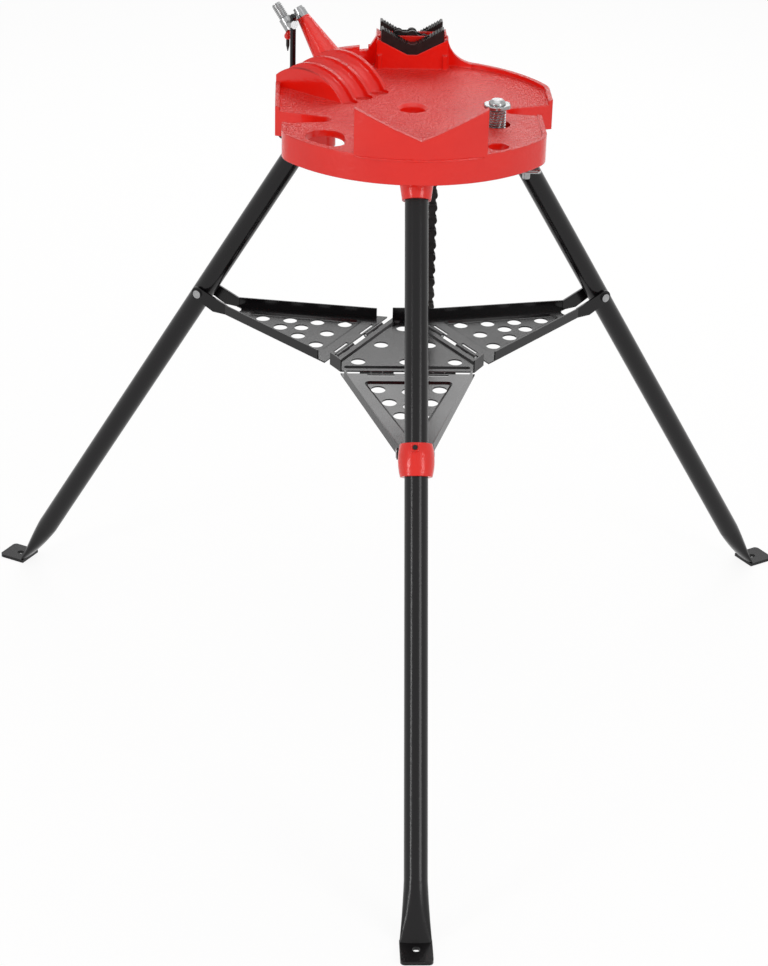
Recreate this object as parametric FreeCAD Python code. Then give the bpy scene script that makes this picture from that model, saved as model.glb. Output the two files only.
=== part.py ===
"""Tripod pipe vise stand: a cast-iron vise table on one fixed and two folding
tubular legs, tied by a folding sheet-steel tray whose front wing slides on the
front leg.  Millimetres, +Z up.  The model is drawn about the vertical axis of
the tripod and moved at the end so that the origin is under the middle of the
three feet."""
import FreeCAD, Part
import math
import os

V = FreeCAD.Vector
UP = V(0, 0, 1)
CENTRE = V(0, 0, 0)

# ---------------------------------------------------------------- driving sizes
# stand
TABLE_HEIGHT = 859.0        # floor to the flat top of the table
FOOT_REACH = 660.0          # tripod axis to the place where a leg meets the floor
LUG_INSET = 50.0            # leg axis at the hinge bolt, from the rim
LEG_STEP = 120.0            # angle from leg to leg
FRONT_AZIMUTH = -90.0       # the fixed leg, under the pipe rest
TUBE_OUTER = 30.0           # leg tube
TUBE_WALL = 2.0
HINGE_DROP = 56.0           # table top to the folding legs' hinge bolts
ANKLE = 4.0                 # height at which the leg axis reaches FOOT_REACH
FOOT_WIDTH = 41.0
FOOT_LENGTH = 44.0
FOOT_THICK = 5.0
FOOT_HOLE = 10.0
FOOT_HOLE_PLACE = 18.5      # from the bend of the foot
FLATTEN_LENGTH = 78.0       # tapered end of the tube, along the leg
WAIST_LENGTH = 31.0         # bend of the foot to the middle of the taper
WAIST_DEPTH = 18.5          # depth of the taper there
FOOT_CORNER = 6.0
LEG_OVERRUN = 17.0          # tube beyond the hinge bolt
SLIT = 0.5                  # running clearance on each side of a moving piece

# table casting
RIM_RADIUS = 203.0
LEFT_CUT = 22.0             # cut off the round rim at its left side, behind the slot
RIGHT_CUT = 16.0
FRONT_LEFT_CUT = 31.0       # the same in front of the slots
FRONT_RIGHT_CUT = 35.0
RIM_CORNER = 45.0
PLATE = 9.0                 # table plate
SKIRT_DEPTH = 34.0          # skirt below the table top
SKIRT_WALL = 7.0
LIP_HEIGHT = 6.0
LIP_WIDTH = 6.0
FRONT_LIP = 1.5             # lip height in front of the slots
CENTRE_HOLE = 33.0
CENTRE_CHAMFER = 4.0
CENTRE_BOSS_RADIUS = 23.0
CENTRE_BOSS_DEPTH = 24.0
VISE_OFFSET = 6.0           # pipe line to the right of the tripod axis

# pipe rest on the front rim
REST_OFFSET = 2.0           # middle of the V to the right of the tripod axis
REST_HALF = 84.0
REST_WALL = 9.0
REST_NOTCH = 23.5           # bottom of the V above the table
REST_SLOPE = 23.6           # of the V's sides, degrees

# tool slots and holes in the table
SLOT_TIP_RADIUS = 11.0
SLOT_MOUTH = 62.0
SLOT_WALL = 6.0
SLOT_OVERRUN = 5.0          # slot mouths beyond the round rim
LEFT_SLOT_TIP = V(-119, -50, 0)
LEFT_SLOT_MOUTH = V(-RIM_RADIUS - SLOT_OVERRUN, -42, 0)
RIGHT_SLOT_TIP = V(131, -9, 0)
RIGHT_SLOT_MOUTH = V(RIM_RADIUS + SLOT_OVERRUN, -4, 0)
WRENCH_HOLE = V(-117, -118, 0)
WRENCH_HOLE_RADIUS = 25.0
WRENCH_HOLE_END = V(-106, -140, 0)
WRENCH_HOLE_END_RADIUS = 15.0
FRONT_HOLE = V(102, -150, 0)
FRONT_HOLE_RADIUS = 13.5

# ceiling brace screw
BRACE_POINT = V(106, -62, 0)
BRACE_RADIUS = 12.0
BRACE_STICKS_OUT = 22.5
BRACE_BELOW = 30.0
BRACE_FLANGE_RADIUS = 17.5
BRACE_FLANGE_THICK = 5.0
BRACE_SCALLOP = 3.0
BRACE_SCALLOPS = 8
BRACE_DOME_RADIUS = 11.0
BRACE_DOME_TOP = 6.8
BRACE_DOME_HEIGHT = 6.0
BRACE_POCKET_RADIUS = 18.0
BRACE_POCKET_DEPTH = 15.0
BRACE_BOSS_RADIUS = 22.0

# pipe benders: crescent fins with a round groove between each pair
FIN_COUNT = 4
FIN_THICK = 5.0
FIN_RADIUS = 77.0           # of the fins' arc
FIN_CENTRE_DROP = 43.0      # arc centre below the table top
FIN_TURN = 140.0            # direction in which a fin runs, degrees from +X
FIN_START = V(-93, 14, 0)   # inner tip of the front fin, at the table top
FIN_RISE = 0.065             # rise of the fins' axis towards the back
GROOVE_RADII = (10.5, 12.5, 13.5)

# vise seat
SEAT_INSET = 35.0           # round rim to the front face of the vise block
SEAT_DEPTH = 54.0
SEAT_HALF = 51.0            # half width at the table
SEAT_TOP_HALF = 48.0
SEAT_TOP = 42.0             # top of the block's cheeks above the table
SEAT_FLARE = 34.0           # radius of the concave flares down to the rim
SEAT_BOTTOM = 20.0          # bottom of the jaws' V seats above the table
SEAT_FLAT = 6.5             # half width of the seat's flat bottom
SEAT_SLOPE = 27.0
JAW_THICK = 15.5
JAW_DEPTH = 14.0            # seat to the bottom of the toothed V
JAW_HALF = 43.0
JAW_TOOTH = 4.3             # pitch of the teeth
JAW_TOOTH_DEPTH = 1.9
JAW_FLAT = 3.0
JAW_SLOPE = 30.0
SEAT_PLAY = 0.1
BACK_WALL_TOP = 26.0
BACK_WALL_START = -100.0
BACK_WALL = 8.0
LEFT_FLARE = 9.0            # slope from the low wall up to the block's left cheek
BACK_NOTCH = V(-60, 0, 20)
BACK_NOTCH_WIDTH = 12.0
RIB_WIDTH = 6.0             # ribs at the feet of the block's front
RIB_DEPTH = 4.0
RIB_TOP = 20.0

# chain
CHAIN_PITCH = 19.05
CHAIN_PLATE = 2.4
CHAIN_PLATE_RADIUS = 7.2
CHAIN_WAIST = 4.6
CHAIN_PIN_RADIUS = 2.9
CHAIN_ROLLER_RADIUS = 5.6
CHAIN_INNER_GAP = 7.0
CHAIN_PLAY = 0.08
CHAIN_SEGMENTS = 6
CHAIN_SEGMENT_LINKS = 3
CHAIN_WEB_TOP = 34.0        # casting web on which the chain's free end lies
CHAIN_WEB_END = 4.0         # right end of that web, along X
CHAIN_POCKET_PLAY = 2.0
CHAIN_START = -13.0         # free end of the chain, along X
CHAIN_DRAPE_ANGLES = (0.0, -27.0, -54.0, -72.0, -84.0, -90.0)
CHAIN_DRAPE_PLAY = 0.05

# arm and chain screw
ARM_ROOT = V(-97, 149, 0)
ARM_END = V(-144, 185, 66)
ARM_ROOT_RADIUS = 23.0
ARM_END_RADIUS = 8.8
ARM_FOOT = 8.0              # straight foot of the arm above the table
ARM_FOOT_SHIFT = 25.0       # how far the foot runs outward under the arm
COLLAR_NUT_RADIUS = 8.5
COLLAR_NUT_LENGTH = 11.0
COLLAR_STEP_RADIUS = 7.0
COLLAR_STEP_LENGTH = 4.0
HUB_SIDE = 17.0
HUB_SHIFT = 22.5            # screw axis beside the arm axis
HUB_RADIUS = 8.5
HUB_BEYOND = 3.5            # hub beyond the arm's end face
SCREW_RADIUS = 6.0
SCREW_LENGTH = 23.0
HANDLE_RADIUS = 4.0
HANDLE_LENGTH = 72.0
HANDLE_ABOVE = 10.6
HANDLE_BALL = 4.6
HANDLE_OFFSET = V(7, -15, 3)            # middle of the bar's boss from the hub's middle
HANDLE_BOSS_RADIUS = 5.6
HUB_DIRECTION = V(-0.82, -0.24, -0.47)  # side of the arm on which the hub sits
HUB_PLAY = 0.3
TRUNNION_RADIUS = 3.5
TRUNNION_DEPTH = 2.0
TRUNNION_PAD = 4.8
KNOB_RADIUS = 5.0
KNOB_NECK_RADIUS = 3.0
KNOB_NECK = 8.0             # of the knob's neck, above its centre
KNOB_DROP = 17.5            # centre of the knob below the hub's
KNOB_PIN_RADIUS = 2.4
KNOB_PIN_LENGTH = 16.0
KNOB_PIN_POINT = 0.6        # radius at the pin's point

# socket of the front leg, hinge lugs of the folding legs
SOCKET_MOUTH_RADIUS = 18.5
SOCKET_TOP_RADIUS = 30.0
SOCKET_BELOW = 35.0         # socket mouth below the skirt, along Z
SOCKET_FIT = 0.15
LUG_THICK = 9.0
LUG_WIDTH = 40.0
BOLT_RADIUS = 5.0
BOLT_PLAY = 0.08
BOLT_HEAD_ACROSS = 16.0
BOLT_HEAD_HEIGHT = 6.4
WASHER_RADIUS = 9.5
WASHER_THICK = 1.6

# sliding collar
COLLAR_LENGTH = 42.0
COLLAR_RADIUS = 23.2
COLLAR_END_RADIUS = 20.5
COLLAR_PLAY = 0.4
COLLAR_BOSS = 10.5          # side of the square boss round the set screw
COLLAR_BOSS_TOP = 26.0      # boss face from the collar's axis
SET_SCREW_RADIUS = 3.0
SET_SCREW_TURN = -6.0       # round the collar, from its outer side
SET_SCREW_PLACE = 14.0      # above the collar's middle, along the leg
SET_SCREW_STANDS_OUT = 2.0
WING_PIN_BEHIND = 28.0      # front wing's pin behind the leg's axis
WING_PIN_ABOVE = 12.0       # that pin above the collar's middle, along the leg
WING_PIN_RADIUS = 4.0
COLLAR_LUG_RADIUS = 7.0
COLLAR_LUG_HALF = 20.5

# tray
TRAY_PIVOT_REACH = 326.2    # axis to the tray bolts in the folding legs
TRAY_DROP = 20.0            # tray bolts above the top of the wing sheets
FRONT_WING_SLOPE = 2.9      # of the front wing, down towards its leg, degrees
WING_PIN_RISE = 7.4         # front wing's pin above the middle of its sheet
HINGE_REACH = 73.0          # axis to the tray's three hinge pins
SHEET = 2.0
PANEL_DROP = 2.5            # pressed panels below the border
PANEL_SLOPE = 4.0           # width of a pressed panel's soft wall
PANEL_CORNER = 7.0
CORNER_STEPS = 4            # flats on a pressed panel's rounded corner
WING_HALF = 91.0            # half width of a wing along its hinge
PANEL_START = 99.0          # pressed panel of a wing, from the axis
PANEL_START_HALF = 62.0
PANEL_END = 254.0
PANEL_END_HALF = 8.0
FLANGE = 12.0               # turned-up edge above the sheet
FLANGE_START = 14.0
FORK_ROOT = 46.0            # tray bolt to the root of the wing's fork
FRONT_FORK_ROOT = 15.0
FORK_RELIEF = 14.5          # round relief in the fork's root, for the leg when it folds
EAR_FOOT_SHARE = 0.45       # level part of an ear's lower edge, as a share of the fork
EAR_THICK = 2.5
EAR_GAP = 0.7
EAR_RADIUS = 10.0           # ear round the tray bolt
FRONT_EAR_RADIUS = 8.0
PIN_RADIUS = 1.7
KNUCKLE_RADIUS = 3.2
KNUCKLE_LENGTH = 15.0
KNUCKLE_GAP = 0.5
HINGE_SPREAD = 42.0         # hinge centres from the wing's middle line
HINGE_CLEAR = 1.0
TRAY_HOLE = 20.0
HOLE_APEX = 228.5           # outermost hole of a wing, from the axis
HOLE_STEP = 39.1            # along the two rows that spread from it
HOLE_SPREAD = 20.6          # of each row from the middle line, degrees
HOLE_ROW = 3                # further holes in each row
MIDDLE_HOLES = (165.7, 124.3)
WING_SLIT_EDGE = 2.3        # slits along the hinge edge of a wing
WING_SLIT_WIDTH = 4.5
WING_SLIT_START = 18.0
WING_SLIT_END = 55.0
RIVET_RADIUS = 6.0
RIVET_HEAD = 3.0
FRONT_RIVET_HEAD = 1.0
CENTRE_HALF = 91.0
CENTRE_HOLE_REACH = 38.3
CENTRE_CORNER_REACH = 76.6
CENTRE_GROOVE_REACH = 57.0  # pressed groove beside each hinge of the centre panel
CENTRE_GROOVE_HALF = 86.0
CENTRE_GROOVE_WIDTH = 9.0
CENTRE_GROOVE_DROP = 3.0
CENTRE_GROOVE_SLOPE = 2.0
CORNER_FLANGE = 16.0        # turned-up corners of the centre panel

# jaw screws
JAW_SCREW_PLACE = 26.0      # along X from the pipe line
JAW_SCREW_RADIUS = 2.5
JAW_SCREW_HEAD = 4.2
JAW_SCREW_DEPTH = 8.0
JAW_SCREW_RISE = 5.0

# pieces under the rim
LATCH_INSET = 4.0           # middle of the tab from the inside of the skirt
LATCH_POINT = V(LATCH_INSET + SKIRT_WALL + LEFT_CUT - RIM_RADIUS, 46, -54)
LATCH_RADIUS = 7.0
LATCH_THICK = 5.0
LATCH_RISE = 40.0
CLIP_INSET = 57.0           # middle of the pin from the rim
CLIP_POINT = V(RIM_RADIUS - CLIP_INSET, -82, -56)
CLIP_PIN_RADIUS = 5.0
CLIP_WIRE = 1.4
CLIP_LENGTH = 28.0

# ------------------------------------------------------------ worked-out sizes
FRONT = FRONT_AZIMUTH
LEFT = FRONT_AZIMUTH - LEG_STEP
RIGHT = FRONT_AZIMUTH + LEG_STEP
LUG_REACH = RIM_RADIUS - LUG_INSET      # tripod axis to the folding legs' hinge bolts
LEAN = math.atan2(FOOT_REACH - LUG_REACH, TABLE_HEIGHT - HINGE_DROP - ANKLE)
SEAT_FRONT = RIM_RADIUS - SEAT_INSET
CHAIN_Y = SEAT_FRONT + SEAT_DEPTH / 2
TUBE_RADIUS = TUBE_OUTER / 2
APEX_HEIGHT = ANKLE + FOOT_REACH / math.tan(LEAN)
HINGE_HEIGHT = TABLE_HEIGHT - HINGE_DROP
LEG_DOWN = V(math.sin(LEAN), 0, -math.cos(LEAN))
LEG_OUT = V(math.cos(LEAN), 0, math.sin(LEAN))
ACROSS = V(0, 1, 0)
TOE = FOOT_REACH - ANKLE + FOOT_LENGTH
REAR_TURN = math.radians(RIGHT)
REAR_TOE = ((TOE - FOOT_CORNER) * math.sin(REAR_TURN)
            + (FOOT_WIDTH / 2 - FOOT_CORNER) * math.cos(REAR_TURN) + FOOT_CORNER)
ORIGIN_SHIFT = V(0, (TOE - REAR_TOE) / 2, 0)

MARGIN = 1.0                # how far a cutting tool runs past what it cuts


# --------------------------------------------------------------------- helpers
def rod(radius, start, end):
    return Part.makeCylinder(radius, (end - start).Length, start, end - start)


def taper(start_radius, end_radius, start, end):
    return Part.makeCone(start_radius, end_radius, (end - start).Length, start, end - start)


def block(low, high):
    size = high - low
    return Part.makeBox(size.x, size.y, size.z, low)


def face_of(points):
    return Part.Face(Part.makePolygon(list(points) + [points[0]]))


def prism(points, depth):
    """Flat outline of points pushed along the vector depth."""
    return face_of(points).extrude(depth)


def hexagon(across, origin, axis, height):
    """Hexagonal prism, across flats, standing on origin along axis."""
    corner = across / math.sqrt(3)
    points = [V(corner * math.cos(math.radians(60 * k)), corner * math.sin(math.radians(60 * k)), 0)
              for k in range(6)]
    return aligned(prism(points, V(0, 0, height)), origin, axis)


def aligned(shape, origin, axis, across=None):
    """Copy of a shape drawn on +Z, moved to origin with +Z along axis and +X near across."""
    z = V(axis).normalize()
    hint = across or (V(1, 0, 0) if abs(z.x) < math.cos(math.pi / 4) else V(0, 1, 0))
    x = (hint - z * hint.dot(z)).normalize()
    y = z.cross(x)
    matrix = FreeCAD.Matrix(x.x, y.x, z.x, origin.x,
                            x.y, y.y, z.y, origin.y,
                            x.z, y.z, z.z, origin.z,
                            0, 0, 0, 1)
    result = shape.copy()
    result.Placement = FreeCAD.Placement(matrix).multiply(result.Placement)
    return result


def turned(shape, azimuth):
    """Copy of a shape drawn for a leg along +X, turned to the leg's own azimuth."""
    result = shape.copy()
    result.rotate(CENTRE, UP, azimuth)
    return result


def fused(shapes):
    shapes = list(shapes)
    return shapes[0].fuse(shapes[1:]).removeSplitter()


def table(x, y, z=0.0):
    """Point given from the centre of the table top."""
    return V(x, y, TABLE_HEIGHT + z)


def upright(radius, place, low, high):
    """Vertical cylinder through a place on the table, between two heights from its top."""
    return Part.makeCylinder(radius, high - low, place + table(0, 0, low))


def save(name, shapes):
    """Write one node: a solid, or a group of separate solids."""
    solids = [solid for shape in shapes for solid in shape.Solids]
    result = solids[0] if len(solids) == 1 else Part.makeCompound(solids)
    result = result.copy()
    result.translate(ORIGIN_SHIFT)
    if not result.isValid():
        print("invalid solid in", name)
    result.exportStep("parts/" + name + ".step")
    return result


def reach_at(height):
    """Distance of a leg's axis from the tripod axis at a height."""
    return (APEX_HEIGHT - height) * math.tan(LEAN)


def on_leg(height):
    return V(reach_at(height), 0, height)


HINGE_POINT = on_leg(HINGE_HEIGHT)
PIVOT_HEIGHT = APEX_HEIGHT - TRAY_PIVOT_REACH / math.tan(LEAN)
PIVOT_POINT = on_leg(PIVOT_HEIGHT)
FRONT_BOLT_POINT = on_leg(TABLE_HEIGHT - SKIRT_DEPTH + BOLT_RADIUS * 2)
SHEET_TOP = PIVOT_HEIGHT - TRAY_DROP
HINGE_AXIS_HEIGHT = SHEET_TOP - SHEET / 2

# the front wing slopes down to a pin that lies behind the fixed leg's axis
SLOPE_COSINE = math.cos(math.radians(FRONT_WING_SLOPE))
SLOPE_SINE = math.sin(math.radians(FRONT_WING_SLOPE))
FRONT_PIN_ALONG = ((reach_at(HINGE_AXIS_HEIGHT + WING_PIN_RISE * SLOPE_COSINE)
                    - WING_PIN_BEHIND / math.cos(LEAN) - HINGE_REACH - WING_PIN_RISE * SLOPE_SINE)
                   / (SLOPE_COSINE - math.tan(LEAN) * SLOPE_SINE))
FRONT_PIN_FLAT = V(HINGE_REACH + FRONT_PIN_ALONG, 0, HINGE_AXIS_HEIGHT + WING_PIN_RISE)
FRONT_PIN = V(HINGE_REACH + FRONT_PIN_ALONG * SLOPE_COSINE + WING_PIN_RISE * SLOPE_SINE, 0,
              HINGE_AXIS_HEIGHT - FRONT_PIN_ALONG * SLOPE_SINE + WING_PIN_RISE * SLOPE_COSINE)
COLLAR_POINT = FRONT_PIN + LEG_OUT * WING_PIN_BEHIND + LEG_DOWN * WING_PIN_ABOVE


# --------------------------------------------------------------- table casting
def rim_part(inset, low, high, left_cut, right_cut):
    """Round outline with a flat on each side and rounded corners, between two heights."""
    radius = RIM_RADIUS - inset
    disc = Part.makeCylinder(radius, high - low, table(0, 0, low))
    slab = block(table(left_cut - radius, -radius, low), table(radius - right_cut, radius, high))
    body = disc.common(slab)
    upright_edges = [edge for edge in body.Edges
                     if len(edge.Vertexes) == 2
                     and abs(abs(edge.Vertexes[0].Z - edge.Vertexes[1].Z) - (high - low)) < 0.001]
    return body.makeFillet(RIM_CORNER - inset, upright_edges)


def front_half(low, high):
    """Everything in front of the line from one slot to the other, between two heights."""
    far = 2 * RIM_RADIUS
    along = (RIGHT_SLOT_TIP - LEFT_SLOT_TIP).normalize() * far
    points = [LEFT_SLOT_TIP - along, RIGHT_SLOT_TIP + along,
              RIGHT_SLOT_TIP + along - V(0, far, 0), LEFT_SLOT_TIP - along - V(0, far, 0)]
    return prism([point + table(0, 0, low) for point in points], V(0, 0, high - low))


def rim_solid(inset, low, high):
    """Table outline, narrower in front of its slots, between two heights from the table top."""
    rear = rim_part(inset, low, high, LEFT_CUT, RIGHT_CUT)
    front = rim_part(inset, low, high, FRONT_LEFT_CUT, FRONT_RIGHT_CUT)
    region = front_half(low, high)
    return fused([rear.cut(region), front.common(region)])


def wedge(tip, mouth, tip_radius, mouth_half, low, high):
    """Slot that widens from a round tip to its mouth, between two heights."""
    along = (mouth - tip).normalize()
    side = UP.cross(along)
    length = (mouth - tip).Length
    opening = math.atan2(mouth_half, length) - math.asin(tip_radius / math.hypot(mouth_half, length))
    touch_along = -tip_radius * math.sin(opening)
    touch_side = tip_radius * math.cos(opening)
    base = tip + V(0, 0, TABLE_HEIGHT + low)
    points = [base + along * touch_along + side * touch_side,
              base + along * length + side * mouth_half,
              base + along * length - side * mouth_half,
              base + along * touch_along - side * touch_side]
    flare = prism(points, V(0, 0, high - low))
    return fused([flare, upright(tip_radius, tip, low, high)])


def rounded_slot(first, first_radius, second, second_radius, low, high):
    """Egg-shaped opening around two circles."""
    along = (second - first).normalize()
    side = UP.cross(along)
    length = (second - first).Length
    sine = (first_radius - second_radius) / length
    cosine = math.sqrt(1 - sine * sine)
    base = V(0, 0, TABLE_HEIGHT + low)
    points = [base + first + along * first_radius * sine + side * first_radius * cosine,
              base + second + along * second_radius * sine + side * second_radius * cosine,
              base + second + along * second_radius * sine - side * second_radius * cosine,
              base + first + along * first_radius * sine - side * first_radius * cosine]
    return fused([prism(points, V(0, 0, high - low)),
                  upright(first_radius, first, low, high),
                  upright(second_radius, second, low, high)])


def pipe_rest():
    """Curved wall on the front rim whose top edge is a wide V for the pipe."""
    top = REST_NOTCH + REST_HALF * math.tan(math.radians(REST_SLOPE))
    outline = [(-REST_HALF, -PLATE), (-REST_HALF, top), (0, REST_NOTCH),
               (REST_HALF, top), (REST_HALF, -PLATE)]
    wall = prism([table(x + REST_OFFSET, -RIM_RADIUS, z) for x, z in outline], V(0, RIM_RADIUS, 0))
    ring = rim_solid(0, -PLATE, top).cut(rim_solid(REST_WALL, -PLATE - MARGIN, top + MARGIN))
    return wall.common(ring)


def pipe_bender():
    """Crescent fins side by side; the space between two fins is a round sheave groove."""
    turn = math.radians(FIN_TURN)
    along = V(math.cos(turn), math.sin(turn), 0)
    normal = V(math.sin(turn), -math.cos(turn), FIN_RISE).normalize()
    half_chord = math.sqrt(FIN_RADIUS ** 2 - FIN_CENTRE_DROP ** 2)
    axis_point = FIN_START + along * half_chord + V(0, 0, TABLE_HEIGHT - FIN_CENTRE_DROP)
    width = FIN_COUNT * FIN_THICK + 2 * sum(GROOVE_RADII)
    level = V(normal.x, normal.y, 0)
    corners = [FIN_START + along * RIM_RADIUS, FIN_START - along * RIM_RADIUS,
               FIN_START - along * RIM_RADIUS + level * RIM_RADIUS,
               FIN_START + along * RIM_RADIUS + level * RIM_RADIUS]
    behind = prism([corner + table(0, 0, -PLATE) for corner in corners], V(0, 0, 2 * FIN_RADIUS))
    body = rod(FIN_RADIUS, axis_point - normal * FIN_RADIUS * FIN_RISE, axis_point + normal * width)
    body = body.common(rim_solid(0, -PLATE, FIN_RADIUS)).common(behind)
    grooves = []
    place = FIN_THICK
    floor_limit = block(table(-2 * RIM_RADIUS, -RIM_RADIUS, -PLATE / 2),
                        table(RIM_RADIUS, 2 * RIM_RADIUS, 2 * FIN_RADIUS))
    for radius in GROOVE_RADII:
        middle = axis_point + normal * (place + radius)
        grooves.append(Part.makeTorus(FIN_RADIUS, radius, middle, normal).common(floor_limit))
        place += 2 * radius + FIN_THICK
    return body, grooves


def seat_outline(low_flat, bottom, slope, half, top):
    """V opening of a seat, in X and Z, open at the top."""
    rise = (half - low_flat) * math.tan(math.radians(slope))
    return [(-half, bottom + rise), (-low_flat, bottom), (low_flat, bottom), (half, bottom + rise),
            (half, top), (-half, top)]


def vise_block():
    """Hollow block behind the table centre that carries the two jaws on V seats."""
    back = SEAT_FRONT + SEAT_DEPTH
    outline = [(-SEAT_HALF, -SKIRT_DEPTH), (-SEAT_HALF, 0), (-SEAT_TOP_HALF, SEAT_TOP),
               (SEAT_TOP_HALF, SEAT_TOP), (SEAT_HALF, 0), (SEAT_HALF, -SKIRT_DEPTH)]
    body = prism([table(x + VISE_OFFSET, SEAT_FRONT, z) for x, z in outline], V(0, SEAT_DEPTH, 0))
    wide = SEAT_HALF + MARGIN
    opening = seat_outline(SEAT_FLAT, SEAT_BOTTOM, SEAT_SLOPE, wide, SEAT_TOP + SEAT_HALF)
    for start in (SEAT_FRONT - MARGIN, back - JAW_THICK - SLIT):
        points = [table(x + VISE_OFFSET, start, z) for x, z in opening]
        body = body.cut(prism(points, V(0, JAW_THICK + MARGIN + SLIT, 0)))
    inner = SEAT_HALF - SKIRT_WALL
    hollow = block(table(VISE_OFFSET - inner, SEAT_FRONT + SKIRT_WALL, -SKIRT_DEPTH - MARGIN),
                   table(VISE_OFFSET + inner, back - SKIRT_WALL, SEAT_BOTTOM - PLATE))
    chain_side = chain_points()[-1].x + CHAIN_PLATE_RADIUS + CHAIN_POCKET_PLAY
    first = SEAT_FRONT + JAW_THICK + SLIT + MARGIN
    last = back - JAW_THICK - SLIT - MARGIN
    pocket = block(table(CHAIN_WEB_END, first, -SKIRT_DEPTH), table(chain_side, last, SEAT_TOP + MARGIN))
    rest = block(table(VISE_OFFSET - SEAT_TOP_HALF + SLOT_WALL, first, CHAIN_WEB_TOP),
                 table(chain_side, last, SEAT_TOP + MARGIN))
    ribs = []
    for side in (-1, 1):
        middle = VISE_OFFSET + side * (SEAT_HALF - RIB_WIDTH)
        ribs.append(block(table(middle - RIB_WIDTH / 2, SEAT_FRONT - RIB_DEPTH, -PLATE),
                          table(middle + RIB_WIDTH / 2, SEAT_FRONT, RIB_TOP)))
    return fused([body] + ribs), [hollow, pocket, rest]


def back_wall():
    """Raised rear rim: a low wall to the left of the vise block, a flare to its right."""
    right = VISE_OFFSET + SEAT_HALF - MARGIN
    left = VISE_OFFSET - SEAT_TOP_HALF
    left_end = BACK_WALL_START
    arc_centre = table(right + SEAT_FLARE, 0, LIP_HEIGHT + SEAT_FLARE)
    diagonal = SEAT_FLARE / math.sqrt(2)
    corners = [table(right + SEAT_FLARE, 0, LIP_HEIGHT), table(right + SEAT_FLARE, 0, -PLATE),
               table(left_end, 0, -PLATE), table(left_end, 0, BACK_WALL_TOP),
               table(left - LEFT_FLARE, 0, BACK_WALL_TOP), table(left, 0, LIP_HEIGHT + SEAT_FLARE),
               table(right, 0, LIP_HEIGHT + SEAT_FLARE)]
    edges = [Part.LineSegment(first, second).toShape() for first, second in zip(corners, corners[1:])]
    arc = Part.Arc(corners[-1], arc_centre - V(diagonal, 0, diagonal), corners[0])
    face = Part.Face(Part.Wire(edges + [arc.toShape()]))
    wall = face.extrude(V(0, RIM_RADIUS, 0))
    ring = rim_solid(0, -PLATE, SEAT_TOP).cut(rim_solid(BACK_WALL, -PLATE - MARGIN, SEAT_TOP + MARGIN))
    notch = block(table(BACK_NOTCH.x - BACK_NOTCH_WIDTH / 2, 0, BACK_NOTCH.z),
                  table(BACK_NOTCH.x + BACK_NOTCH_WIDTH / 2, RIM_RADIUS, SEAT_TOP))
    return wall.common(ring).cut(notch)


ARM_AXIS = (ARM_END - ARM_ROOT).normalize()
ARM_SIDE = (HUB_DIRECTION - ARM_AXIS * ARM_AXIS.dot(HUB_DIRECTION)).normalize()
ARM_TIP = table(ARM_END.x, ARM_END.y, ARM_END.z)
HUB_CENTRE = ARM_TIP + ARM_AXIS * HUB_BEYOND + ARM_SIDE * HUB_SHIFT
TRUNNION_START = HUB_CENTRE - ARM_SIDE * HUB_SHIFT
TRUNNION_END = HUB_CENTRE - ARM_SIDE * (HUB_RADIUS - TRUNNION_DEPTH)


def screw_arm():
    """Tapered arm at the back left on a straight foot."""
    root = table(ARM_ROOT.x, ARM_ROOT.y, ARM_ROOT.z)
    arm = taper(ARM_ROOT_RADIUS, ARM_END_RADIUS, root, ARM_TIP)
    ball = Part.makeSphere(ARM_ROOT_RADIUS, root).common(rim_solid(0, -SKIRT_DEPTH, TABLE_HEIGHT))
    outward = V(ARM_AXIS.x, ARM_AXIS.y, 0).normalize() * ARM_FOOT_SHIFT
    radius = ARM_ROOT_RADIUS + MARGIN
    foot = rounded_slot(ARM_ROOT, radius, ARM_ROOT + outward, radius, -PLATE, ARM_FOOT)
    foot = foot.common(rim_solid(0, -PLATE, ARM_FOOT))
    return fused([arm, ball, foot])


def hinge_lugs():
    """Pair of cheeks under the table that carry a folding leg's bolt."""
    cheeks = []
    inner = TUBE_RADIUS + SLIT
    for side in (inner, -inner - LUG_THICK):
        start = V(HINGE_POINT.x, side, HINGE_HEIGHT)
        cheek = rod(LUG_WIDTH / 2, start, start + ACROSS * LUG_THICK)
        top = block(start - V(LUG_WIDTH / 2, 0, 0),
                    start + V(LUG_WIDTH / 2, LUG_THICK, HINGE_DROP - PLATE / 2))
        cheeks.append(fused([cheek, top]))
    reach = ACROSS * TUBE_OUTER * 2
    hole = rod(BOLT_RADIUS + BOLT_PLAY, HINGE_POINT - reach, HINGE_POINT + reach)
    return [cheek.cut(hole) for cheek in cheeks]


def leg_socket():
    """Tapered boss for the fixed leg; returns the boss and its bore."""
    mouth_height = TABLE_HEIGHT - SKIRT_DEPTH - SOCKET_BELOW
    mouth = on_leg(mouth_height)
    top = on_leg(TABLE_HEIGHT - PLATE / 2)
    boss = taper(SOCKET_MOUTH_RADIUS, SOCKET_TOP_RADIUS, mouth, top)
    end = on_leg(TABLE_HEIGHT - PLATE - TUBE_RADIUS)
    bore = rod(TUBE_RADIUS + SOCKET_FIT, mouth + LEG_DOWN * MARGIN, end)
    return boss, bore


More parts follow.
